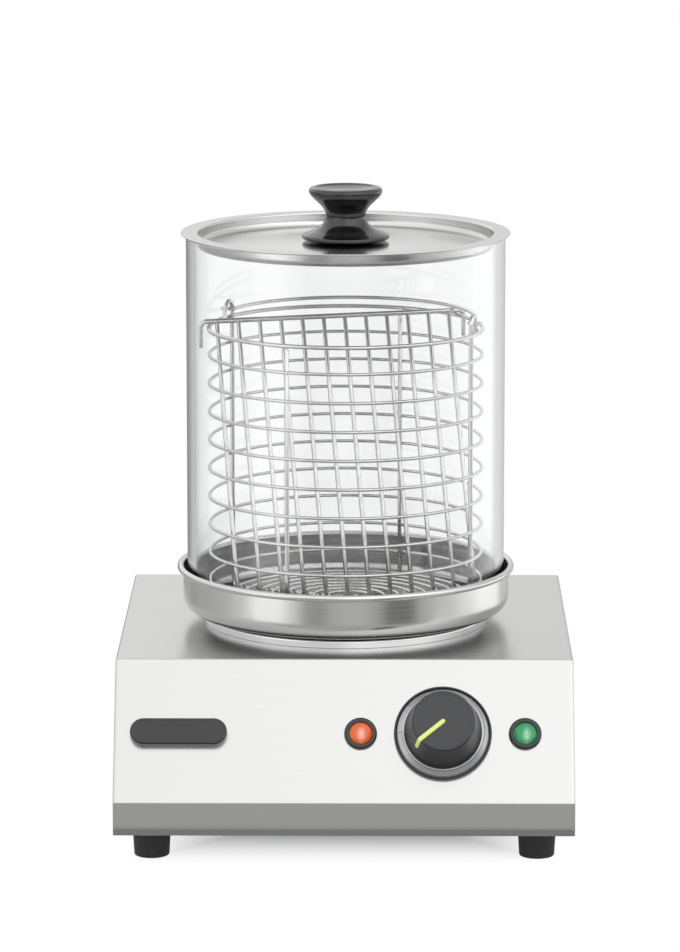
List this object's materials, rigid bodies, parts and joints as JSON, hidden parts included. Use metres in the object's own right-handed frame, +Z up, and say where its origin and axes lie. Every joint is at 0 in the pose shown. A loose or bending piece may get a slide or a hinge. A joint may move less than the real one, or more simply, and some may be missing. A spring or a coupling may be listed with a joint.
{
  "type": "hot dog steamer",
  "caption": "Table-top steamer: sheet-steel base with a hot plate and dial, a water pan, a glass cylinder round a wire basket with a leaning divider, and a dished lid.",
  "frame": {"origin": "on the table, under the middle of the whole outline", "axes": "+Z up, the sloping control panel faces -Y, +X to the right as seen from the front"},
  "size_m": [0.28, 0.3271, 0.395],
  "materials": {
    "housing": "satin stainless sheet",
    "base_plate": "zinc-plated sheet",
    "base_screws": "zinc-plated",
    "rubber_feet": "black rubber",
    "foot_studs": "zinc-plated",
    "trim_ring": "polished",
    "hotplate": "dark heat-proof coating",
    "centre_stud": "zinc-plated",
    "heating_element": "dull oxidised sheath",
    "element_clamp": "zinc-plated",
    "heat_shield": "mill finish",
    "bridge": "zinc-plated",
    "stud_nuts": "zinc-plated",
    "dial_bezel": "black",
    "dial_plate": "satin silver",
    "thermostat": "pale moulding",
    "thermostat_shaft": "plain steel",
    "thermostat_screws": "zinc-plated",
    "sensor_bulb": "copper",
    "capillary": "copper",
    "control_knob": "black, soft sheen",
    "knob_pointer": "yellow-green inlay",
    "lamp_bezels": "black",
    "lamp_lens_heating": "clear orange, lit",
    "lamp_lens_power": "clear green, lit",
    "lamp_bodies": "black",
    "lamp_clips": "spring steel",
    "badge": "dark grey, blank",
    "cable_gland": "black nylon",
    "gland_nut": "black nylon",
    "terminal_block": "off-white moulding",
    "terminal_screws": "plain brass",
    "earth_stud": "plain brass",
    "thermal_cutout": "brown-black moulding",
    "internal_wires": "heat-proof sleeves",
    "water_pan": "satin stainless, rolled bead",
    "glass_cylinder": "clear",
    "basket_rim": "bright wire",
    "basket_hoops": "bright wire",
    "basket_posts": "bright wire",
    "basket_floor": "bright wire",
    "divider": "bright wire",
    "basket_handle": "bright wire",
    "lid": "satin stainless",
    "lid_knob": "black moulding",
    "lid_knob_screw": "zinc-plated",
    "lid_knob_washer": "zinc-plated"
  },
  "bodies": {
    "base": {"housing": "housing", "base_plate": "base_plate", "base_screws": "base_screws", "rubber_feet": "rubber_feet", "foot_studs": "foot_studs", "trim_ring": "trim_ring", "hotplate": "hotplate", "centre_stud": "centre_stud", "heating_element": "heating_element", "element_clamp": "element_clamp", "heat_shield": "heat_shield", "bridge": "bridge", "stud_nuts": "stud_nuts", "dial_bezel": "dial_bezel", "dial_plate": "dial_plate", "thermostat": "thermostat", "thermostat_screws": "thermostat_screws", "sensor_bulb": "sensor_bulb", "capillary": "capillary", "lamp_bezels": "lamp_bezels", "lamp_lens_heating": "lamp_lens_heating", "lamp_lens_power": "lamp_lens_power", "lamp_bodies": "lamp_bodies", "lamp_clips": "lamp_clips", "badge": "badge", "cable_gland": "cable_gland", "gland_nut": "gland_nut", "terminal_block": "terminal_block", "terminal_screws": "terminal_screws", "earth_stud": "earth_stud", "thermal_cutout": "thermal_cutout", "internal_wires": "internal_wires"},
    "knob": {"control_knob": "control_knob", "knob_pointer": "knob_pointer", "thermostat_shaft": "thermostat_shaft"},
    "pan": {"water_pan": "water_pan"},
    "glass": {"glass_cylinder": "glass_cylinder"},
    "basket": {"basket_rim": "basket_rim", "basket_hoops": "basket_hoops", "basket_posts": "basket_posts", "basket_floor": "basket_floor", "divider": "divider"},
    "handle": {"basket_handle": "basket_handle"},
    "lid": {"lid": "lid", "lid_knob": "lid_knob", "lid_knob_screw": "lid_knob_screw", "lid_knob_washer": "lid_knob_washer"}
  },
  "joints": [
    {"name": "knob_turn", "type": "hinge", "parent": "base", "child": "knob", "pos_m": [0.06, -0.13091, 0.07846], "axis": [0, -0.8572, 0.515], "range_deg": [-39.5, 275.5]},
    {"name": "pan_lift", "type": "slide", "parent": "base", "child": "pan", "axis": [0, 0, 1], "range_m": [0, 0.06]},
    {"name": "glass_lift", "type": "slide", "parent": "pan", "child": "glass", "axis": [0, 0, 1], "range_m": [0, 0.25]},
    {"name": "lid_lift", "type": "slide", "parent": "glass", "child": "lid", "axis": [0, 0, 1], "range_m": [0, 0.32]},
    {"name": "basket_lift", "type": "slide", "parent": "pan", "child": "basket", "axis": [0, 0, 1], "range_m": [0, 0.241]},
    {"name": "handle_swing", "type": "hinge", "parent": "basket", "child": "handle", "pos_m": [0.00161, 0.01562, 0.313], "axis": [0.9288, -0.3705, 0], "range_deg": [0, 90]}
  ],
  "couplings": [
    {"joint": "basket_lift", "follows": "lid_lift", "ratio": 0.75},
    {"joint": "handle_swing", "follows": "lid_lift", "rad_per_m": 4.9}
  ]
}
